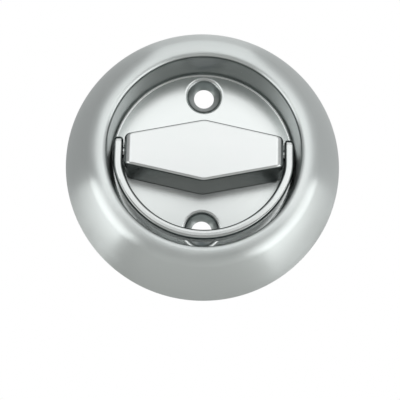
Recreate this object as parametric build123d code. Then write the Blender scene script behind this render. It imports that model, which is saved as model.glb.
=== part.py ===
from build123d import *
from math import asin, atan, atan2, cos, hypot, pi, radians, sin, tan
import os

# Flush cup handle: a dished rose with a turn knob and a folding ring pull.
# Millimetres, +Z up. The rose's back lies on the plane y = 0 and its front faces -Y. The knob turns
# about the Y axis. A level is a height above the back plane, so it is at y = -level.

# Rose: flange, rim and pocket
rose_diameter = 84.0
rose_height = 19.0
edge_height = 1.4
edge_radius = 0.8
flange_crown = 0.6
flange_wall = 3.0
pocket_diameter = 56.4
pocket_wall = 2.6
lip_radius = 1.5
crest_land = 0.15
crest_radius = 5.5
floor_thickness = 3.5
floor_fillet = 1.0
hollow_radius = 2.0
hollow_fillet_share = 0.8

# Screw holes in the floor, one above and one below the knob
hole_from_wall = 7.2
hole_diameter = 6.2
hole_land = 0.5
countersink_angle = 70.0
countersink_edge_radius = 1.8

# Turn knob: six-sided body on a round stem
knob_width = 18.4
knob_end_width = 8.8
knob_draft = 4.0
knob_below_crest = 0.8
knob_apex_radius = 4.0
knob_corner_radius = 1.6
knob_end_roll = 2.4
end_roll_overrun = 0.06
knob_edge_radius = 0.9
stem_diameter = 15.0
stem_clearance = 0.05
stem_behind_ring = 2.0
socket_depth = 13.0

# Square spindle in the stem's socket
spindle_width = 8.0
spindle_length = 50.0
spindle_chamfer = 0.8
spindle_clearance = 0.1
spindle_end_gap = 0.3

# Thrust washer, back washer and retaining ring
thrust_washer_width = 1.2
thrust_washer_thickness = 0.5
back_washer_width = 3.8
back_washer_thickness = 1.0
washer_clearance = 0.2
axial_play = 0.1
groove_depth = 0.4
groove_clearance = 0.1
ring_thickness = 1.0
ring_radial_width = 2.2
ring_gap_angle = 26.0
lug_radius = 1.9
lug_hole_diameter = 1.7

# Ring pull and its pivots
pull_width = 2.8
pull_depth = 7.0
pull_wall_gap = 1.1
pull_bend_radius = 15.0
pull_rise = 1.2
pull_edge_radius = 1.0
leg_wall_gap = 1.8
leg_knob_gap = 0.4
leg_above_pivot = 4.3
leg_corner_radius = 2.2
pivot_below_front = 5.1
pin_diameter = 3.0
pin_clearance = 0.05
pin_seat_depth = 8.0
pin_recess = 0.3

# Levels and radii that follow from the sizes above
rose_radius = rose_diameter / 2
pocket_radius = pocket_diameter / 2
hole_spacing = pocket_diameter - 2 * hole_from_wall
countersink_depth = floor_thickness - hole_land
countersink_diameter = hole_diameter + 2 * countersink_depth * tan(radians(countersink_angle / 2))
knob_front = rose_height - knob_below_crest
knob_back = floor_thickness + thrust_washer_thickness + axial_play
pivot_level = knob_front - pivot_below_front
stem_radius = stem_diameter / 2
groove_radius = stem_radius - groove_depth
groove_front = -(axial_play + back_washer_thickness)
groove_back = groove_front - ring_thickness - groove_clearance
stem_back = groove_back - stem_behind_ring
socket_end = stem_back + socket_depth
pull_outer_radius = pocket_radius - pull_wall_gap
leg_reach = pocket_radius - leg_wall_gap
knob_length = 2 * (leg_reach - pull_width - leg_knob_gap)


def nearest(sketch, points):
    """The vertices of a sketch that lie at the given points."""
    return [sketch.vertices().sort_by_distance((*point, 0))[0] for point in points]


def corner(sketch, radius_level):
    """The vertex of a turned profile at a given radius and level."""
    radius, level = radius_level
    return nearest(sketch, [(radius, -level)])


def turned(*radius_levels):
    """A closed profile in the XY plane, to be revolved about Y, from (radius, level) corners."""
    points = [(radius, -level) for radius, level in radius_levels]
    return make_face(Polyline(*points, close=True))


def disc(radius, low, high):
    """A round disc about the Y axis between two levels."""
    return extrude(Plane.XZ.offset(low) * Circle(radius), high - low)


def flange_start(crest_centre, flange_edge):
    """Where the flange's arc leaves the rim's crest, as a turn from the crest's front and a point.

    The arc runs on smoothly from the crest to the flange's edge and bulges by flange_crown.
    """
    run = flange_edge[0] - crest_centre[0]
    drop = crest_centre[1] - flange_edge[1]
    reach = hypot(run, drop)
    chord = (reach**2 - crest_radius**2) ** 0.5
    crown_angle = 2 * atan(2 * flange_crown / chord)
    edge_angle = asin(crest_radius * cos(crown_angle) / reach)
    turn = atan2(drop, run) - crown_angle + edge_angle
    point = (crest_centre[0] + crest_radius * sin(turn), crest_centre[1] + crest_radius * cos(turn))
    return turn, point


def make_rose():
    rim_inner = (pocket_radius, rose_height)
    floor_edge = (pocket_radius, floor_thickness)
    flange_edge = (rose_radius, edge_height)
    bore_radius = stem_radius + stem_clearance
    crest_centre = (pocket_radius + lip_radius + crest_land, rose_height - crest_radius)
    crest_front = (crest_centre[0], -rose_height)
    turn, crest_end = flange_start(crest_centre, flange_edge)
    crest_middle = (
        crest_centre[0] + crest_radius * sin(turn / 2),
        -crest_centre[1] - crest_radius * cos(turn / 2),
    )

    inside = Polyline(
        (rose_radius, -edge_height),
        (rose_radius, 0),
        (bore_radius, 0),
        (bore_radius, -floor_thickness),
        (pocket_radius, -floor_thickness),
        (pocket_radius, -rose_height),
        crest_front,
    )
    crest = ThreePointArc(crest_front, crest_middle, (crest_end[0], -crest_end[1]))
    flange = TangentArc(crest @ 1, inside @ 0, tangent=(cos(turn), sin(turn)))
    profile = make_face([*inside.edges(), crest, flange])
    profile = fillet(corner(profile, floor_edge), floor_fillet)
    profile = fillet(corner(profile, rim_inner), lip_radius)
    profile = fillet(corner(profile, flange_edge), edge_radius)
    rose = revolve(profile, Axis.Y)

    # The casting is hollow behind the flange, with a wall that follows the flange's slope.
    slope = atan2(crest_end[1] - flange_edge[1], flange_edge[0] - crest_end[0])
    hollow_inner = pocket_radius + pocket_wall
    hollow_outer = rose_radius + edge_height / tan(slope) - flange_wall / sin(slope)
    hollow_height = (hollow_outer - hollow_inner) * tan(slope)
    hollow_top = (hollow_inner, hollow_height)
    hollow = turned((hollow_inner, 0), hollow_top, (hollow_outer, 0))
    fillet_room = hollow_height * tan((pi / 2 - slope) / 2)
    hollow = fillet(corner(hollow, hollow_top), min(hollow_radius, hollow_fillet_share * fillet_room))
    rose -= revolve(hollow, Axis.Y)

    for height in (hole_spacing / 2, -hole_spacing / 2):
        floor_plane = Plane((0, -floor_thickness, height), x_dir=(1, 0, 0), z_dir=(0, -1, 0))
        rose -= floor_plane * CounterSinkHole(
            hole_diameter / 2,
            countersink_diameter / 2,
            2 * floor_thickness,
            countersink_angle,
        )
    mouths = rose.edges().filter_by(
        lambda edge: edge.geom_type == GeomType.CIRCLE
        and abs(edge.radius - countersink_diameter / 2) < 0.01
    )
    return fillet(mouths, countersink_edge_radius)


def make_thrust_washer():
    top = floor_thickness + thrust_washer_thickness
    inner_radius = stem_radius + washer_clearance
    washer = disc(inner_radius + thrust_washer_width, floor_thickness, top)
    return washer - disc(inner_radius, floor_thickness, top)


def knob_outline(spread):
    """The knob's six-sided outline, with its four long sides moved out by a spread."""
    half_length = knob_length / 2
    half_end = knob_end_width / 2 + spread
    top, bottom = (0, knob_width / 2 + spread), (0, -knob_width / 2 - spread)
    right = [(half_length, half_end), (half_length, -half_end)]
    left = [(-half_length, -half_end), (-half_length, half_end)]
    outline = make_face(Polyline(top, *right, bottom, *left, close=True))
    outline = fillet(nearest(outline, [top, bottom]), knob_apex_radius)
    return fillet(nearest(outline, right + left), knob_corner_radius)


def make_knob():
    # The long sides spread towards the back, as a casting's do.
    half_length = knob_length / 2
    back_spread = (knob_front - knob_back) * tan(radians(knob_draft))
    back = Plane.XZ.offset(knob_back) * knob_outline(back_spread)
    front = Plane.XZ.offset(knob_front) * knob_outline(0)
    body = loft([back, front], ruled=True)

    # The front rolls off towards the two ends and meets them at a slight edge.
    roll_end = half_length + end_roll_overrun
    side = make_face(
        Polyline(
            (-roll_end, -knob_back),
            (roll_end, -knob_back),
            (roll_end, -knob_front),
            (-roll_end, -knob_front),
            close=True,
        )
    )
    side = fillet(nearest(side, [(x, -knob_front) for x in (roll_end, -roll_end)]), knob_end_roll)
    body &= extrude(side, knob_width, both=True)
    long_edges = body.edges().filter_by(
        lambda edge: edge.geom_type == GeomType.LINE
        and abs(edge.center().Y + knob_front) < 0.01
        and abs(edge.tangent_at(0.5).X) > 0.5
    )
    body = fillet(long_edges, knob_edge_radius)

    stem = disc(stem_radius, stem_back, knob_back)
    stem -= disc(stem_radius, groove_back, groove_front) - disc(groove_radius, groove_back, groove_front)
    body += stem
    socket_width = spindle_width + 2 * spindle_clearance
    body -= extrude(Plane.XZ.offset(stem_back) * Rectangle(socket_width, socket_width), socket_depth)

    for side_plane in pivot_planes():
        seat_plane = side_plane.offset(half_length - pin_seat_depth)
        body -= extrude(seat_plane * Circle(pin_diameter / 2), pin_seat_depth)
    return body


def pivot_planes():
    """Planes across the pivot axis at the middle of the handle, facing right and left."""
    centre = (0, -pivot_level, 0)
    return [Plane(centre, x_dir=(0, 1, 0), z_dir=(way, 0, 0)) for way in (1, -1)]


def pull_outline(inset):
    """The pull's outline from the front, moved in by an inset: a circle with straight legs."""
    hoop = Pos(0, pull_rise) * Circle(pull_outer_radius - inset)
    outline = hoop & Rectangle(2 * (leg_reach - inset), pocket_diameter + 2 * pull_rise)
    return fillet(outline.vertices(), pull_bend_radius - inset)


def make_ring_pull():
    front_view = pull_outline(0) - pull_outline(pull_width)
    hoop = extrude(Plane.XZ.offset(pivot_level - pull_depth) * front_view, 2 * pull_depth)

    # Seen from the side, the hoop is a bar that ends in a rounded top above the pivot.
    across = Plane((0, -pivot_level, 0), x_dir=(0, 1, 0), z_dir=(1, 0, 0))
    bar_height = leg_above_pivot + pocket_radius
    leg = Pos(0, leg_above_pivot - bar_height / 2) * Rectangle(pull_depth, bar_height)
    leg_corners = [(pull_depth / 2, leg_above_pivot), (-pull_depth / 2, leg_above_pivot)]
    leg = fillet(nearest(leg, leg_corners), leg_corner_radius)
    pull = hoop & extrude(across * leg, pocket_radius, both=True)
    pull = fillet(pull.edges(), pull_edge_radius)

    for side_plane in pivot_planes():
        pull -= extrude(side_plane * Circle(pin_diameter / 2 + pin_clearance), pocket_radius)
    return pull


def make_pin(side_plane):
    start = knob_length / 2 - pin_seat_depth
    end = leg_reach - pin_recess
    return extrude(side_plane.offset(start) * Circle(pin_diameter / 2), end - start)


def make_back_washer():
    front = -axial_play
    back = front - back_washer_thickness
    inner_radius = stem_radius + washer_clearance
    washer = disc(inner_radius + back_washer_width, back, front)
    return washer - disc(inner_radius, back, front)


def make_retaining_ring():
    outer_radius = groove_radius + ring_radial_width
    lug_centre = groove_radius + lug_radius
    ring = Circle(outer_radius)
    for turn in (ring_gap_angle, -ring_gap_angle):
        ring += Rot(0, 0, turn) * Pos(0, lug_centre) * Circle(lug_radius)
    ring -= Circle(groove_radius)
    gap_width = 2 * (lug_centre * sin(radians(ring_gap_angle)) - lug_radius)
    ring -= Pos(0, outer_radius) * Rectangle(gap_width, 2 * outer_radius)
    for turn in (ring_gap_angle, -ring_gap_angle):
        ring -= Rot(0, 0, turn) * Pos(0, lug_centre) * Circle(lug_hole_diameter / 2)
    return extrude(Plane.XZ.offset(groove_front - ring_thickness) * ring, ring_thickness)


def make_spindle():
    front = socket_end - spindle_end_gap
    square = Rectangle(spindle_width, spindle_width)
    bar = extrude(Plane.XZ.offset(front - spindle_length) * square, spindle_length)
    ends = bar.faces().sort_by(Axis.Y)
    return chamfer(ends[0].edges() + ends[-1].edges(), spindle_chamfer)


right_pivot, left_pivot = pivot_planes()
pieces = {
    "rose": make_rose(),
    "thrust_washer": make_thrust_washer(),
    "turn_knob": make_knob(),
    "ring_pull": make_ring_pull(),
    "pivot_pin_right": make_pin(right_pivot),
    "pivot_pin_left": make_pin(left_pivot),
    "back_washer": make_back_washer(),
    "retaining_ring": make_retaining_ring(),
    "spindle": make_spindle(),
}

os.makedirs("parts", exist_ok=True)
for name, piece in pieces.items():
    export_step(piece, f"parts/{name}.step")
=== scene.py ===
# %% [markdown]
# # A flush cup handle in satin stainless steel
# The model comes from CAD with its sizes and joints fixed. This lesson gives it the look of the real
# handle: a turned steel rose, a turn knob across its pocket and a ring pull that folds out.

# %% Load the frame
import math

import bmesh
import bpy
from mathutils import Matrix, Quaternion, Vector


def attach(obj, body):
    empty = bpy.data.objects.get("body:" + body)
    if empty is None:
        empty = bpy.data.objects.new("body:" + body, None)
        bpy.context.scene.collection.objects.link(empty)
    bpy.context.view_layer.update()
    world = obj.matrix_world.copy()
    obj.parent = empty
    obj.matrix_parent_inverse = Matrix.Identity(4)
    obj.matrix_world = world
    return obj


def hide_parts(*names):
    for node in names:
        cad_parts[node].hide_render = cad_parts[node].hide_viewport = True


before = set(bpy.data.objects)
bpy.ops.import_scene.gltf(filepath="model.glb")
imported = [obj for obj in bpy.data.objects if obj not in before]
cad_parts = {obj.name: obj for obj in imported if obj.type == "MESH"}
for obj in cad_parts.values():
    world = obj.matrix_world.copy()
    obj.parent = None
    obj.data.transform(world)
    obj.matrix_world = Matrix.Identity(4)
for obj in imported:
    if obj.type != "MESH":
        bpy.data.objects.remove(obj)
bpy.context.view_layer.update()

print("CAD nodes:", sorted(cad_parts))

# %% [markdown]
# ## Small helpers
# Sizes are written in millimetres, as on a drawing, and Blender works in metres. Colours are written as
# sRGB hex values, the way a colour picker shows them, and a shader wants them linear. One function adds a
# node with its settings and links, so that each material and each Geometry Nodes tree reads as a list. An
# input that shares its name with others of its node, such as A and B of a Mix node, is given by its number.

# %% Helpers
MM = 0.001


def linear(hex_colour):
    """An sRGB hex colour as linear red, green, blue and alpha."""
    channels = []
    for start in (1, 3, 5):
        value = int(hex_colour[start:start + 2], 16) / 255
        channels.append(value / 12.92 if value <= 0.04045 else ((value + 0.055) / 1.055) ** 2.4)
    return (*channels, 1.0)


def add_node(tree, kind, settings=None, links=None):
    """A node with socket values or properties set from one dict and its inputs linked from another."""
    node = tree.nodes.new(kind)
    for name, value in (settings or {}).items():
        if isinstance(name, int) or name in node.inputs:
            node.inputs[name].default_value = value
        else:
            setattr(node, name, value)
    for socket, source in (links or {}).items():
        tree.links.new(source, node.inputs[socket])
    return node


print("satin steel grey in linear light:", [round(c, 3) for c in linear("#c4c9c8")[:3]])

# %% [markdown]
# ## Front faces and sides
# A steep side is hard to reach with the abrasive and stays duller than a front face. Its darker colour is
# painted shade, standing in for the shade that upright sides fall in. The Y part of the surface normal, read
# in the object's own axes, tells the two apart, so a finish can blend between them.

# %% Telling fronts from sides
def facing_front(tree, place, low, high):
    """A factor that rises from 0 on upright sides to 1 on front and back faces."""
    normal = add_node(tree, "ShaderNodeSeparateXYZ", links={0: place.outputs["Normal"]})
    size = add_node(tree, "ShaderNodeMath", {"operation": "ABSOLUTE"}, {0: normal.outputs["Y"]})
    return add_node(
        tree, "ShaderNodeMapRange",
        {"interpolation_type": "SMOOTHSTEP", "From Min": low, "From Max": high}, {0: size.outputs[0]},
    ).outputs[0]


print("a slope of 45 degrees has a Y part of", round(math.cos(math.radians(45)), 2))

# %% [markdown]
# ## Satin stainless steel, turned
# The rose was spun against fine abrasive, so its scratches run in circles round the handle's axis. Such a
# surface blurs reflections across the scratches far more than along them, which makes the bright wedges
# that point at the centre. The Tangent node's radial direction follows the circles, and a quarter turn of
# the anisotropy puts the wide blur across them. Real scratches are about 0.03 mm wide; here they are
# drawn 0.3 mm wide so that they show at this size. The noise is read at the distance from the axis, less
# the height, so the scratches also circle the pocket's upright wall.

# %% Turned satin steel
SCRATCH_WIDTH, SCRATCH_DEPTH = 0.3 * MM, 0.02 * MM
CLOUDS_PER_METRE = 0.12 / MM  # cloudy patches about 8 mm across
QUARTER_TURN = 0.25
NOISE_LOW, NOISE_HIGH = 0.3, 0.7  # most of a noise texture lies between these


def turned_steel(name, colour, side_shade_colour, roughness, side_roughness, unevenness, bump, anisotropy):
    """Stainless steel with circular scratches about the Y axis, its own roughness and a darker painted shade on
    upright sides.
    """
    material = bpy.data.materials.new(name)
    material.use_nodes = True
    tree = material.node_tree
    shader = tree.nodes["Principled BSDF"]
    shader.inputs["Metallic"].default_value = 1.0
    shader.inputs["Anisotropic"].default_value = anisotropy
    shader.inputs["Anisotropic Rotation"].default_value = QUARTER_TURN

    place = add_node(tree, "ShaderNodeTexCoord")
    point = place.outputs["Object"]
    axes = add_node(tree, "ShaderNodeSeparateXYZ", links={0: point})
    flat = add_node(tree, "ShaderNodeVectorMath", {"operation": "MULTIPLY", 1: (1, 0, 1)}, {0: point})
    radius = add_node(tree, "ShaderNodeVectorMath", {"operation": "LENGTH"}, {0: flat.outputs[0]})
    across = add_node(
        tree, "ShaderNodeMath", {"operation": "ADD"}, {0: radius.outputs["Value"], 1: axes.outputs["Y"]}
    )
    lines = add_node(tree, "ShaderNodeMath", {"operation": "DIVIDE", 1: SCRATCH_WIDTH}, {0: across.outputs[0]})
    around = add_node(tree, "ShaderNodeVectorMath", {"operation": "NORMALIZE"}, {0: flat.outputs[0]})
    turn = add_node(tree, "ShaderNodeSeparateXYZ", links={0: around.outputs[0]})
    scratch_place = add_node(
        tree, "ShaderNodeCombineXYZ", links={0: turn.outputs["X"], 1: turn.outputs["Z"], 2: lines.outputs[0]}
    )
    scratches = add_node(
        tree, "ShaderNodeTexNoise", {"Scale": 1.0, "Detail": 2.0, "Roughness": 0.6},
        {"Vector": scratch_place.outputs[0]},
    )
    clouds = add_node(
        tree, "ShaderNodeTexNoise", {"Scale": CLOUDS_PER_METRE, "Detail": 3.0, "Roughness": 0.55},
        {"Vector": point},
    )
    blend = add_node(
        tree, "ShaderNodeMix", {"data_type": "FLOAT", 0: 0.5},
        {2: scratches.outputs["Fac"], 3: clouds.outputs["Fac"]},
    )
    front = facing_front(tree, place, 0.75, 0.995)
    level = add_node(
        tree, "ShaderNodeMix", {"data_type": "FLOAT", 2: side_roughness, 3: roughness}, {0: front}
    )
    spread = add_node(
        tree, "ShaderNodeMapRange",
        {"From Min": NOISE_LOW, "From Max": NOISE_HIGH, "To Min": -unevenness, "To Max": unevenness},
        {0: blend.outputs[0]},
    )
    rough = add_node(
        tree, "ShaderNodeMath", {"operation": "ADD"}, {0: level.outputs[0], 1: spread.outputs[0]}
    )
    face_tint = add_node(
        tree, "ShaderNodeMix", {"data_type": "RGBA", 6: linear(colour[0]), 7: linear(colour[1])},
        {0: clouds.outputs["Fac"]},
    )
    # Painted shade: upright sides take the darker side colour, which stands in for the shade they fall in.
    tint = add_node(
        tree, "ShaderNodeMix", {"data_type": "RGBA", 6: linear(side_shade_colour)},
        {0: front, 7: face_tint.outputs[2]},
    )
    relief = add_node(
        tree, "ShaderNodeBump", {"Strength": bump, "Distance": SCRATCH_DEPTH},
        {"Height": scratches.outputs["Fac"]},
    )
    tangent = add_node(tree, "ShaderNodeTangent", {"direction_type": "RADIAL", "axis": "Y"})
    for socket, source in (("Base Color", tint.outputs[2]), ("Roughness", rough.outputs[0]),
                           ("Normal", relief.outputs[0]), ("Tangent", tangent.outputs[0])):
        tree.links.new(source, shader.inputs[socket])
    return material


flange_steel = turned_steel(
    "Satin stainless steel, turned", colour=("#c0c6c5", "#c8cccb"), side_shade_colour="#c4c9c8",
    roughness=0.33, side_roughness=0.33, unevenness=0.04, bump=0.10, anisotropy=0.9,
)
# The pocket's darker side colour is painted shade on its upright wall and the holes' rolled mouths, and it also
# dims their glints.
pocket_steel = turned_steel(
    "Fine satin stainless steel, turned", colour=("#c9cdcc", "#cfd3d2"), side_shade_colour="#a4aaa9",
    roughness=0.22, side_roughness=0.30, unevenness=0.03, bump=0.05, anisotropy=0.2,
)
print("made", flange_steel.name, "and", pocket_steel.name)

# %% [markdown]
# ## The knob's and the ring's steel
# The knob was linished lengthwise on a belt, so its scratches run along X: noise stretched in that
# direction gives both the streaks and the uneven gloss. The ring was buffed brighter, and only faint
# polishing marks and a soft haze are left on it. The sides of both pieces get a darker painted colour,
# a painted shade that stands in for the shade they fall in.

# %% Linished and polished steel
PATCHES_PER_METRE = 0.15 / MM  # cloudy patches about 7 mm across


def streaked_steel(name, colour, side_shade_colour, roughness, unevenness, streak, bump):
    """Steel with marks of the given size in mm along X, Y and Z and a darker painted shade on upright sides."""
    material = bpy.data.materials.new(name)
    material.use_nodes = True
    tree = material.node_tree
    shader = tree.nodes["Principled BSDF"]
    shader.inputs["Metallic"].default_value = 1.0

    place = add_node(tree, "ShaderNodeTexCoord")
    stretched = add_node(
        tree, "ShaderNodeMapping", {"Scale": tuple(1 / (size * MM) for size in streak)},
        {0: place.outputs["Object"]},
    )
    marks = add_node(
        tree, "ShaderNodeTexNoise", {"Scale": 1.0, "Detail": 3.0, "Roughness": 0.6},
        {"Vector": stretched.outputs[0]},
    )
    clouds = add_node(
        tree, "ShaderNodeTexNoise", {"Scale": PATCHES_PER_METRE, "Detail": 2.0},
        {"Vector": place.outputs["Object"]},
    )
    blend = add_node(
        tree, "ShaderNodeMix", {"data_type": "FLOAT", 0: 0.45},
        {2: marks.outputs["Fac"], 3: clouds.outputs["Fac"]},
    )
    rough = add_node(
        tree, "ShaderNodeMapRange",
        {"From Min": NOISE_LOW, "From Max": NOISE_HIGH,
         "To Min": roughness - unevenness, "To Max": roughness + unevenness},
        {0: blend.outputs[0]},
    )
    face_tint = add_node(
        tree, "ShaderNodeMix", {"data_type": "RGBA", 6: linear(colour[0]), 7: linear(colour[1])},
        {0: clouds.outputs["Fac"]},
    )
    # Painted shade: upright sides take the darker side colour, which stands in for the shade they fall in.
    tint = add_node(
        tree, "ShaderNodeMix", {"data_type": "RGBA", 6: linear(side_shade_colour)},
        {0: facing_front(tree, place, 0.55, 0.92), 7: face_tint.outputs[2]},
    )
    relief = add_node(
        tree, "ShaderNodeBump", {"Strength": bump, "Distance": SCRATCH_DEPTH}, {"Height": marks.outputs["Fac"]}
    )
    for socket, source in (("Base Color", tint.outputs[2]), ("Roughness", rough.outputs[0]),
                           ("Normal", relief.outputs[0])):
        tree.links.new(source, shader.inputs[socket])
    return material


knob_steel = streaked_steel(
    "Satin stainless steel, linished", colour=("#c6cac9", "#cdcfcf"), side_shade_colour="#7d8281",
    roughness=0.22, unevenness=0.03, streak=(18, 0.4, 0.4), bump=0.06,
)
ring_steel = streaked_steel(
    "Polished stainless steel", colour=("#bfc3c2", "#c5c8c7"), side_shade_colour="#767c7b",
    roughness=0.15, unevenness=0.03, streak=(1.2, 1.2, 1.2), bump=0.03,
)
print("made", knob_steel.name, "and", ring_steel.name)

# %% [markdown]
# ## The parts behind the floor
# The washer and the spindle are zinc plated: a bluish bright grey with a faint crystalline mottle. The
# retaining ring is spring steel, oil-blackened and nearly matt. The thrust washer is natural nylon, an
# off-white plastic that lets a little light in.

# %% Plated steel, blackened steel and nylon
plated_steel = streaked_steel(
    "Zinc-plated steel", colour=("#a9afb6", "#bcc1c6"), side_shade_colour="#b2b8be",
    roughness=0.33, unevenness=0.07, streak=(0.9, 0.9, 0.9), bump=0.08,
)
spring_steel = streaked_steel(
    "Oil-blackened spring steel", colour=("#2b2b2d", "#3a3a3b"), side_shade_colour="#323234",
    roughness=0.42, unevenness=0.06, streak=(0.5, 0.5, 0.5), bump=0.1,
)

NYLON_GRAINS_PER_METRE = 1.5 / MM

nylon = bpy.data.materials.new("Natural nylon, moulded")
nylon.use_nodes = True
nylon_tree = nylon.node_tree
nylon_shader = nylon_tree.nodes["Principled BSDF"]
nylon_shader.inputs["IOR"].default_value = 1.53
nylon_shader.inputs["Subsurface Weight"].default_value = 0.15
nylon_shader.inputs["Subsurface Radius"].default_value = (0.8 * MM, 0.7 * MM, 0.5 * MM)
nylon_place = add_node(nylon_tree, "ShaderNodeTexCoord")
nylon_grain = add_node(
    nylon_tree, "ShaderNodeTexNoise", {"Scale": NYLON_GRAINS_PER_METRE},
    {"Vector": nylon_place.outputs["Object"]},
)
nylon_tint = add_node(
    nylon_tree, "ShaderNodeMix", {"data_type": "RGBA", 6: linear("#e3dfd2"), 7: linear("#ece9df")},
    {0: nylon_grain.outputs["Fac"]},
)
nylon_rough = add_node(
    nylon_tree, "ShaderNodeMapRange", {"To Min": 0.38, "To Max": 0.52}, {0: nylon_grain.outputs["Fac"]}
)
nylon_tree.links.new(nylon_tint.outputs[2], nylon_shader.inputs["Base Color"])
nylon_tree.links.new(nylon_rough.outputs[0], nylon_shader.inputs["Roughness"])
print("made", plated_steel.name, spring_steel.name, nylon.name)

# %% [markdown]
# ## The rose's sizes
# The rose is a turned form: one outline, spun about the handle's axis, gives the flange, the rounded crest,
# the pocket's wall and the hollow behind the flange. The outline is written as points of radius and level,
# where a level is the height above the back. These are the sizes of the CAD model, in millimetres.

# %% Sizes of the rose
ROSE_RADIUS, ROSE_HEIGHT = 42.0, 19.0
EDGE_HEIGHT, EDGE_RADIUS = 1.4, 0.8
FLANGE_CROWN, FLANGE_WALL = 0.6, 3.0
POCKET_RADIUS, POCKET_WALL = 28.2, 2.6
LIP_RADIUS, CREST_LAND, CREST_RADIUS = 1.5, 0.15, 5.5
FLOOR, FLOOR_FILLET, HOLLOW_RADIUS = 3.5, 1.0, 2.0
BORE_RADIUS = 7.55
HOLE_SPACING, HOLE_RADIUS, HOLE_LAND = 42.0, 3.1, 0.5
COUNTERSINK_ANGLE, MOUTH_RADIUS = 70.0, 1.8
print("the pocket is", ROSE_HEIGHT - FLOOR, "mm deep")

# %% [markdown]
# ## Rounded corners
# Rounded corners are short arcs. One function walks along a known arc, and the other works out the arc that
# rounds a corner between two straight neighbours.

# %% Arcs
def arc(centre, radius, start, end, steps):
    """Points on an arc, with angles in degrees from the outward radius towards the front."""
    turns = [math.radians(start + (end - start) * i / steps) for i in range(steps + 1)]
    return [(centre[0] + radius * math.cos(t), centre[1] + radius * math.sin(t)) for t in turns]


def rounded(before, corner, after, radius, steps):
    """Points on the arc that rounds a corner between two straight neighbours."""
    corner = Vector(corner)
    one, two = (Vector(before) - corner).normalized(), (Vector(after) - corner).normalized()
    half = one.angle(two) / 2
    middle = corner + (one + two).normalized() * radius / math.sin(half)
    first = corner + one * radius / math.tan(half) - middle
    sweep = first.angle_signed(corner + two * radius / math.tan(half) - middle)
    points = []
    for i in range(steps + 1):
        t = -sweep * i / steps
        points.append((
            middle.x + first.x * math.cos(t) - first.y * math.sin(t),
            middle.y + first.x * math.sin(t) + first.y * math.cos(t),
        ))
    return points


example = rounded((0, 1), (0, 0), (1, 0), 1, 4)
print("a corner rounded in four steps:", [tuple(round(c, 2) for c in p) for p in example])

# %% [markdown]
# ## Where the flange leaves the crest
# The flange is an arc that leaves the crest smoothly and reaches the edge with a slight bulge, its crown. So
# the angle at which the crest ends has to be worked out from the edge's place.

# %% Start of the flange
crest_centre = Vector((POCKET_RADIUS + LIP_RADIUS + CREST_LAND, ROSE_HEIGHT - CREST_RADIUS))
flange_edge = Vector((ROSE_RADIUS, EDGE_HEIGHT))
reach = flange_edge - crest_centre
chord = math.sqrt(reach.length_squared - CREST_RADIUS ** 2)
crown_angle = 2 * math.atan(2 * FLANGE_CROWN / chord)
crest_turn = (
    math.atan2(-reach.y, reach.x) - crown_angle
    + math.asin(CREST_RADIUS * math.cos(crown_angle) / reach.length)
)
crest_end = crest_centre + CREST_RADIUS * Vector((math.sin(crest_turn), math.cos(crest_turn)))
print("the flange leaves the crest at", [round(c, 2) for c in crest_end], "mm,")
print("where the crest has turned by", round(math.degrees(crest_turn), 1), "degrees")

# %% [markdown]
# ## The points of the outline
# The flange's arc runs from the crest to the edge, where a small rounding takes over. Behind it, the hollow
# follows the flange's mean slope at the thickness of its wall. The list starts at the pocket's floor and goes
# up the wall, over the crest, down the flange and back through the hollow.

# %% Points of the rose's outline
ROUNDING_GAP = 0.1  # the flange's last point before the edge's rounding keeps this far off

span = flange_edge - crest_end
inward = Vector((-math.sin(crest_turn), -math.cos(crest_turn)))
flange_radius = span.length_squared / (2 * span.dot(inward))
flange_centre = crest_end + inward * flange_radius
flange_start = math.degrees(math.atan2(crest_end.y - flange_centre.y, crest_end.x - flange_centre.x))
flange_stop = math.degrees(math.atan2(flange_edge.y - flange_centre.y, flange_edge.x - flange_centre.x))
flange_points = arc(flange_centre, flange_radius, flange_start, flange_stop, 40)
edge_round = rounded(flange_points[-5], flange_edge, (ROSE_RADIUS, 0), EDGE_RADIUS, 8)
flange_points = [p for p in flange_points if p[0] < edge_round[0][0] - ROUNDING_GAP]

slope = math.atan2(crest_end.y - flange_edge.y, flange_edge.x - crest_end.x)
hollow_inner = POCKET_RADIUS + POCKET_WALL
hollow_outer = ROSE_RADIUS + EDGE_HEIGHT / math.tan(slope) - FLANGE_WALL / math.sin(slope)
hollow_top = (hollow_inner, (hollow_outer - hollow_inner) * math.tan(slope))

wall_start, wall_end = FLOOR + FLOOR_FILLET, ROSE_HEIGHT - LIP_RADIUS
rim_outline = [
    *arc((POCKET_RADIUS - FLOOR_FILLET, FLOOR + FLOOR_FILLET), FLOOR_FILLET, -90, 0, 10),
    *[(POCKET_RADIUS, wall_start + (wall_end - wall_start) * i / 10) for i in range(1, 10)],
    *arc((POCKET_RADIUS + LIP_RADIUS, ROSE_HEIGHT - LIP_RADIUS), LIP_RADIUS, 180, 90, 14),
    *arc(crest_centre, CREST_RADIUS, 90, 90 - math.degrees(crest_turn), 24),
    *flange_points[1:],
    *edge_round,
    (ROSE_RADIUS, 0),
    (hollow_outer, 0),
    *rounded((hollow_outer, 0), hollow_top, (hollow_inner, 0), HOLLOW_RADIUS, 8),
    (hollow_inner, 0),
]
print(len(rim_outline), "points round the rim")

# %% [markdown]
# ## The two countersunk holes and the bore
# Each screw hole has a steep cone with a soft, rolled mouth. Its outline is spun about the hole's own axis
# and placed twice. The floor's front and the back are flat, so they are filled between circles that share
# their points with the turned surfaces, and merging the doubles then closes the shell.

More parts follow.
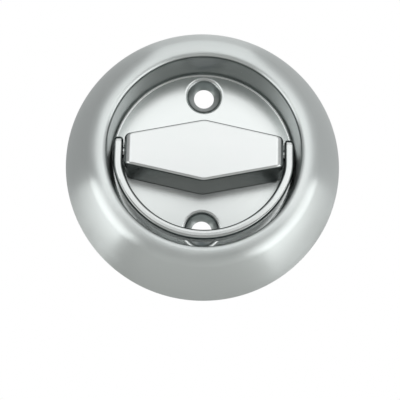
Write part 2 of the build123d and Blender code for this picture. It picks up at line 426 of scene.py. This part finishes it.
# %% Outlines of a hole and of the bore
cone_lean = math.radians(COUNTERSINK_ANGLE / 2)
cone_mouth = (HOLE_RADIUS + (FLOOR - HOLE_LAND) * math.tan(cone_lean), FLOOR)
mouth_reach = MOUTH_RADIUS * math.tan((math.pi / 2 - cone_lean) / 2)
on_the_floor = (cone_mouth[0] + 5, FLOOR)
hole_outline = [
    *rounded(on_the_floor, cone_mouth, (HOLE_RADIUS, HOLE_LAND), MOUTH_RADIUS, 14),
    (HOLE_RADIUS, HOLE_LAND),
    (HOLE_RADIUS, 0),
]
bore_outline = [(BORE_RADIUS, 0), (BORE_RADIUS, FLOOR)]
print("a mouth is", round(2 * (cone_mouth[0] + mouth_reach), 2), "mm across")

# %% [markdown]
# ## Turning the rose with Geometry Nodes
# A lathe is a rule, so Geometry Nodes suit it: Curve to Mesh sweeps an outline round a circle. The three
# outlines come in as loose edges of one mesh, told apart by a number on their points. First the tree gets its
# inputs, so that the sizes can still be changed in the modifier.

# %% Inputs of the lathe tree
TURNING_RADIUS = 20.0
RIM, HOLE, BORE = 0, 1, 2
FINISH_CHANGE = 0.3  # the pocket's finish reaches this far past its wall

lathe = bpy.data.node_groups.new("Turned rose", "GeometryNodeTree")
lathe.interface.new_socket("Outlines", in_out="INPUT", socket_type="NodeSocketGeometry")
lathe_inputs = {
    "Segments": ("NodeSocketInt", 256),
    "Hole segments": ("NodeSocketInt", 96),
    "Turning radius": ("NodeSocketFloat", TURNING_RADIUS * MM),
    "Hole spacing": ("NodeSocketFloat", HOLE_SPACING * MM),
    "Floor level": ("NodeSocketFloat", FLOOR * MM),
    "Floor radius": ("NodeSocketFloat", (POCKET_RADIUS - FLOOR_FILLET) * MM),
    "Back radius": ("NodeSocketFloat", hollow_inner * MM),
    "Bore radius": ("NodeSocketFloat", BORE_RADIUS * MM),
    "Mouth radius": ("NodeSocketFloat", (cone_mouth[0] + mouth_reach) * MM),
    "Hole radius": ("NodeSocketFloat", HOLE_RADIUS * MM),
    "Pocket radius": ("NodeSocketFloat", (POCKET_RADIUS + FINISH_CHANGE) * MM),
}
for label, (kind, _) in lathe_inputs.items():
    lathe.interface.new_socket(label, in_out="INPUT", socket_type=kind)
lathe.interface.new_socket("Rose", in_out="OUTPUT", socket_type="NodeSocketGeometry")
given = add_node(lathe, "NodeGroupInput").outputs
strip = add_node(lathe, "GeometryNodeInputNamedAttribute", {"data_type": "INT", "Name": "strip"})
print(len(lathe_inputs), "sizes go into", lathe.name)

# %% [markdown]
# ## Sweeping and filling
# The tree picks each outline by its number and sweeps it, puts the hole at both places and fills the two flat
# faces between their circles. The back is filled like the floor and then turned over.

# %% Surfaces of the rose
def swept(number, segments):
    """One of the outlines, spun about the Z axis."""
    chosen = add_node(
        lathe, "FunctionNodeCompare", {"data_type": "INT", "operation": "EQUAL", 3: number},
        {2: strip.outputs["Attribute"]},
    )
    kept = add_node(
        lathe, "GeometryNodeSeparateGeometry", {"domain": "POINT"},
        {0: given["Outlines"], 1: chosen.outputs[0]},
    )
    outline = add_node(lathe, "GeometryNodeMeshToCurve", links={0: kept.outputs["Selection"]})
    circle = add_node(
        lathe, "GeometryNodeCurvePrimitiveCircle",
        links={"Resolution": given[segments], "Radius": given["Turning radius"]},
    )
    upright = add_node(lathe, "GeometryNodeSetCurveNormal", {"mode": "Z_UP"}, {0: circle.outputs[0]})
    return add_node(
        lathe, "GeometryNodeCurveToMesh",
        links={"Curve": upright.outputs[0], "Profile Curve": outline.outputs[0]},
    ).outputs[0]


half_spacing = add_node(lathe, "ShaderNodeMath", {"operation": "DIVIDE", 1: 2.0}, {0: given["Hole spacing"]})
above = add_node(lathe, "ShaderNodeCombineXYZ", links={1: half_spacing.outputs[0]})
below = add_node(lathe, "ShaderNodeVectorMath", {"operation": "SCALE", "Scale": -1.0}, {0: above.outputs[0]})


def at_both_holes(shape):
    """The shape at the place of the upper and the lower hole."""
    joined = add_node(lathe, "GeometryNodeJoinGeometry")
    for place in (above, below):
        moved = add_node(
            lathe, "GeometryNodeTransform", links={"Geometry": shape, "Translation": place.outputs[0]}
        )
        lathe.links.new(moved.outputs[0], joined.inputs[0])
    return joined.outputs[0]


def filled(outer, hole, level):
    """A flat face between an outer circle, the bore and the two holes, at a level."""
    loops = add_node(lathe, "GeometryNodeJoinGeometry")
    for radius, segments in ((outer, "Segments"), ("Bore radius", "Segments"), (hole, "Hole segments")):
        circle = add_node(
            lathe, "GeometryNodeCurvePrimitiveCircle",
            links={"Resolution": given[segments], "Radius": given[radius]},
        ).outputs[0]
        lathe.links.new(at_both_holes(circle) if radius == hole else circle, loops.inputs[0])
    face = add_node(lathe, "GeometryNodeFillCurve", {"mode": "TRIANGLES"}, {0: loops.outputs[0]})
    raised = add_node(lathe, "ShaderNodeCombineXYZ", links={2: level} if level else None)
    return add_node(
        lathe, "GeometryNodeTransform", links={"Geometry": face.outputs[0], "Translation": raised.outputs[0]}
    ).outputs[0]


back_fill = filled("Back radius", "Hole radius", None)
back_face = add_node(lathe, "GeometryNodeFlipFaces", links={0: back_fill}).outputs[0]
floor_face = filled("Floor radius", "Mouth radius", given["Floor level"])
shell = add_node(lathe, "GeometryNodeJoinGeometry")
for surface in (swept(RIM, "Segments"), at_both_holes(swept(HOLE, "Hole segments")),
                swept(BORE, "Segments"), floor_face, back_face):
    lathe.links.new(surface, shell.inputs[0])
print(len(lathe.nodes), "nodes so far in", lathe.name)

# %% [markdown]
# ## Closing, shading and dressing the rose
# Merging the doubles closes the shell, and a quarter turn brings the lathe's axis onto Y. Edges that turn by
# more than 30 degrees are marked sharp and the rest is shaded smooth. Everything nearer to the axis than the
# pocket's wall gets the pocket's steel, the rest the flange's.

# %% Last nodes of the lathe tree
MERGE_DISTANCE = 0.004 * MM
SHARP_ANGLE = math.radians(30)

closed = add_node(lathe, "GeometryNodeMergeByDistance", {"Distance": MERGE_DISTANCE}, {0: shell.outputs[0]})
turned_up = add_node(
    lathe, "GeometryNodeTransform", {"Rotation": (math.pi / 2, 0, 0)}, {"Geometry": closed.outputs[0]}
)
smooth = add_node(
    lathe, "GeometryNodeSetShadeSmooth", {"domain": "FACE", "Shade Smooth": True}, {0: turned_up.outputs[0]}
)
bend = add_node(lathe, "GeometryNodeInputMeshEdgeAngle")
sharp = add_node(
    lathe, "FunctionNodeCompare", {"data_type": "FLOAT", "operation": "GREATER_THAN", 1: SHARP_ANGLE},
    {0: bend.outputs["Unsigned Angle"]},
)
creased = add_node(
    lathe, "GeometryNodeSetShadeSmooth", {"domain": "EDGE", "Shade Smooth": False},
    {0: smooth.outputs[0], 1: sharp.outputs[0]},
)
spot = add_node(lathe, "GeometryNodeInputPosition")
flattened = add_node(
    lathe, "ShaderNodeVectorMath", {"operation": "MULTIPLY", 1: (1, 0, 1)}, {0: spot.outputs[0]}
)
from_axis = add_node(lathe, "ShaderNodeVectorMath", {"operation": "LENGTH"}, {0: flattened.outputs[0]})
in_pocket = add_node(
    lathe, "FunctionNodeCompare", {"data_type": "FLOAT", "operation": "LESS_THAN"},
    {0: from_axis.outputs["Value"], 1: given["Pocket radius"]},
)
realised = add_node(lathe, "GeometryNodeRealizeInstances", links={0: creased.outputs[0]})
all_flange = add_node(lathe, "GeometryNodeSetMaterial", {"Material": flange_steel}, {0: realised.outputs[0]})
all_dressed = add_node(
    lathe, "GeometryNodeSetMaterial", {"Material": pocket_steel},
    {0: all_flange.outputs[0], 1: in_pocket.outputs[0]},
)
add_node(lathe, "NodeGroupOutput", links={0: all_dressed.outputs[0]})
print(len(lathe.nodes), "nodes in", lathe.name)

# %% [markdown]
# ## From outlines to a mesh
# The outlines become one mesh of loose edges with the number of their strip on each point. The modifier turns
# it into the rose, and a second modifier evens out the normals. The result is kept as a plain mesh that rides
# on the rose's body and takes the place of the CAD piece.

# %% The rose
outlines = bpy.data.meshes.new("Rose outlines")
points, edges, strips = [], [], []
for number, outline in ((RIM, rim_outline), (HOLE, hole_outline), (BORE, bore_outline)):
    first = len(points)
    points += [((r - TURNING_RADIUS) * MM, -level * MM, 0) for r, level in outline]
    edges += [(first + i, first + i + 1) for i in range(len(outline) - 1)]
    strips += [number] * len(outline)
outlines.from_pydata(points, edges, [])
outlines.attributes.new("strip", "INT", "POINT").data.foreach_set("value", strips)
blank = bpy.data.objects.new("Rose blank", outlines)
bpy.context.scene.collection.objects.link(blank)
turning = blank.modifiers.new("Turned rose", "NODES")
turning.node_group = lathe
for item in lathe.interface.items_tree:
    if item.in_out == "INPUT" and item.name in lathe_inputs:
        turning[item.identifier] = lathe_inputs[item.name][1]
weights = blank.modifiers.new("Even normals", "WEIGHTED_NORMAL")
weights.keep_sharp = True


def made_from(source, name):
    """A plain mesh object from an object's evaluated shape; the source is removed."""
    evaluated = source.evaluated_get(bpy.context.evaluated_depsgraph_get())
    mesh = bpy.data.meshes.new_from_object(evaluated)
    mesh.name = name
    piece = bpy.data.objects.new(name, mesh)
    bpy.context.scene.collection.objects.link(piece)
    bpy.data.objects.remove(source)
    return piece


rose = made_from(blank, "turned_rose")
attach(rose, "rose")
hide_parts("rose")
check = bmesh.new()
check.from_mesh(rose.data)
print(
    len(rose.data.polygons), "faces,", sum(not e.is_manifold for e in check.edges), "open edges, volume",
    round(check.calc_volume(signed=True) * 1e9), "mm3",
)
check.free()

# %% [markdown]
# ## Dressing the other pieces
# The knob, the ring and the small parts have their true shape from CAD, with smooth normals, so each of them
# only needs its finish: the material goes into the slot of the CAD object.

# %% Finishes of the CAD pieces
finishes = {
    "turn_knob": knob_steel,
    "ring_pull": ring_steel,
    "pivot_pin_left": ring_steel,
    "pivot_pin_right": ring_steel,
    "back_washer": plated_steel,
    "spindle": plated_steel,
    "retaining_ring": spring_steel,
    "thrust_washer": nylon,
}
for node_name, material in finishes.items():
    node_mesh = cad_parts[node_name].data
    node_mesh.materials.clear()
    node_mesh.materials.append(material)
print("dressed", len(finishes), "pieces")

# %% [markdown]
# ## The studio
# Polished metal shows its surroundings, so the studio is half of the finish. A white sweep stands behind the
# handle and fills the background. The room is a mid grey that is darker on the left, and straight in front
# and low down, round the camera, it is nearly black: that darkens the pocket's upper wall and the knob's
# underside. Light Path keeps the background at plain white for the camera.

# %% World
UNLIT_SHARE = 0.92  # how much of the room's light is missing round the camera

studio = bpy.data.worlds.new("Studio")
bpy.context.scene.world = studio
studio.use_nodes = True
sky = studio.node_tree
background = sky.nodes["Background"]
seen = add_node(sky, "ShaderNodeLightPath")
facing = add_node(sky, "ShaderNodeTexCoord")
way = add_node(sky, "ShaderNodeSeparateXYZ", links={0: facing.outputs["Generated"]})

levels = {}
for part, (axis, low, high, start, end) in {
    "sides": ("X", -1.0, 1.0, 0.48, 0.66),
    "in front": ("Y", -0.99, -0.93, 1.0, 0.0),
    "low down": ("Z", -0.05, 0.08, 1.0, 0.0),
    "sweep": ("Y", 0.85, 0.98, 0.0, 1.0),
}.items():
    levels[part] = add_node(
        sky, "ShaderNodeMapRange",
        {"interpolation_type": "SMOOTHSTEP", "From Min": low, "From Max": high, "To Min": start, "To Max": end},
        {0: way.outputs[axis]},
    ).outputs[0]
unlit = add_node(
    sky, "ShaderNodeMath", {"operation": "MULTIPLY"}, {0: levels["in front"], 1: levels["low down"]}
)
lit = add_node(
    sky, "ShaderNodeMath", {"operation": "MULTIPLY_ADD", 1: -UNLIT_SHARE, 2: 1.0}, {0: unlit.outputs[0]}
)
room = add_node(sky, "ShaderNodeMath", {"operation": "MULTIPLY"}, {0: levels["sides"], 1: lit.outputs[0]})
mirrored = add_node(
    sky, "ShaderNodeMath", {"operation": "MAXIMUM"},
    {0: seen.outputs["Is Glossy Ray"], 1: seen.outputs["Is Transmission Ray"]},
)
behind = add_node(
    sky, "ShaderNodeMath", {"operation": "MULTIPLY"}, {0: mirrored.outputs[0], 1: levels["sweep"]}
)
backdrop = add_node(
    sky, "ShaderNodeMath", {"operation": "MAXIMUM"}, {0: seen.outputs["Is Camera Ray"], 1: behind.outputs[0]}
)
strength = add_node(
    sky, "ShaderNodeMath", {"operation": "MAXIMUM"}, {0: room.outputs[0], 1: backdrop.outputs[0]}
)
background.inputs["Color"].default_value = linear("#ffffff")
sky.links.new(strength.outputs[0], background.inputs["Strength"])
print(len(sky.nodes), "nodes in the studio's world")

# %% [markdown]
# ## Lamps
# A large softbox in front and above makes the knob's face and the pocket's floor bright. One overhead lights
# the upper flange. Two small fills, left and right of the camera, brighten the sides of the pocket's upper
# wall. Two strips, low on the left and right, make the bright wedges on the turned flange. Each lamp is
# given by how bright it looks, its radiance, because that is what a mirror-like surface shows.

# %% Softboxes
def softbox(name, place, size, radiance):
    """A rectangular lamp that faces the handle, with its power worked out from how bright it looks."""
    lamp = bpy.data.lights.new(name, "AREA")
    lamp.shape = "RECTANGLE"
    lamp.size, lamp.size_y = size
    lamp.energy = radiance * math.pi * size[0] * size[1]
    holder = bpy.data.objects.new(name, lamp)
    holder.location = place
    holder.rotation_euler = (-Vector(place)).to_track_quat("-Z", "Y").to_euler()
    bpy.context.scene.collection.objects.link(holder)


softbox("Front softbox", place=(0.0, -0.52, 0.20), size=(0.75, 0.27), radiance=0.98)
softbox("Overhead softbox", place=(0.0, -0.16, 0.48), size=(0.40, 0.76), radiance=0.66)
softbox("Left fill", place=(-0.17, -0.52, 0.035), size=(0.14, 0.10), radiance=1.3)
softbox("Right fill", place=(0.17, -0.52, 0.035), size=(0.14, 0.10), radiance=1.3)
softbox("Left strip", place=(-0.45, -0.13, -0.195), size=(0.60, 0.35), radiance=1.65)
softbox("Right strip", place=(0.43, -0.13, -0.23), size=(0.60, 0.50), radiance=1.6)

# %% [markdown]
# ## Floor
# A plain pale floor lies well below the handle, which in use is fixed to a door. It glows a little, but only
# for the camera, so that it stays as pale as the background without lighting the handle from below.

# %% Floor
FLOOR_HALF, FLOOR_LEVEL = 20.0, -0.45
FLOOR_GLOW = 0.45

floor_mesh = bpy.data.meshes.new("Floor")
sheet = bmesh.new()
bmesh.ops.create_grid(
    sheet, x_segments=1, y_segments=1, size=FLOOR_HALF, matrix=Matrix.Translation((0, 0, FLOOR_LEVEL))
)
sheet.to_mesh(floor_mesh)
sheet.free()
floor_object = bpy.data.objects.new("Floor", floor_mesh)
bpy.context.scene.collection.objects.link(floor_object)
pale = bpy.data.materials.new("Pale matt floor")
pale.use_nodes = True
pale_tree = pale.node_tree
pale_shader = pale_tree.nodes["Principled BSDF"]
pale_shader.inputs["Base Color"].default_value = linear("#e6e6e4")
pale_shader.inputs["Roughness"].default_value = 0.9
pale_shader.inputs["Emission Color"].default_value = linear("#f4f4f3")
pale_seen = add_node(pale_tree, "ShaderNodeLightPath")
pale_glow = add_node(
    pale_tree, "ShaderNodeMath", {"operation": "MULTIPLY", 1: FLOOR_GLOW},
    {0: pale_seen.outputs["Is Camera Ray"]},
)
pale_tree.links.new(pale_glow.outputs[0], pale_shader.inputs["Emission Strength"])
floor_mesh.materials.append(pale)
print("floor at", floor_mesh.vertices[0].co.z, "m")

# %% [markdown]
# ## Camera
# The camera stands in front and a little lower, and looks up by about twelve degrees. It is turned slightly
# about its own axis. The focal length is given in pixels of the picture and worked out for the sensor.

# %% Camera
DISTANCE, AZIMUTH, ELEVATION = 280 * MM, -0.97, -13.89
FOCAL_PIXELS, PICTURE_PIXELS, ROLL = 905.7, 400, 1.1
AIM = Vector((-0.62 * MM, 0, -11.17 * MM))

around, up = math.radians(AZIMUTH), math.radians(ELEVATION)
camera = bpy.data.objects.new("Camera", bpy.data.cameras.new("Camera"))
bpy.context.scene.collection.objects.link(camera)
camera.location = DISTANCE * Vector(
    (math.sin(around) * math.cos(up), -math.cos(around) * math.cos(up), math.sin(up))
)
gaze = (AIM - camera.location).normalized()
camera.rotation_mode = "QUATERNION"
camera.rotation_quaternion = Quaternion(gaze, math.radians(-ROLL)) @ gaze.to_track_quat("-Z", "Y")
camera.data.lens = camera.data.sensor_width * FOCAL_PIXELS / PICTURE_PIXELS
camera.data.clip_start = 0.01
bpy.context.scene.camera = camera
bpy.context.scene.view_settings.view_transform = "Standard"
print("lens", round(camera.data.lens, 1), "mm")
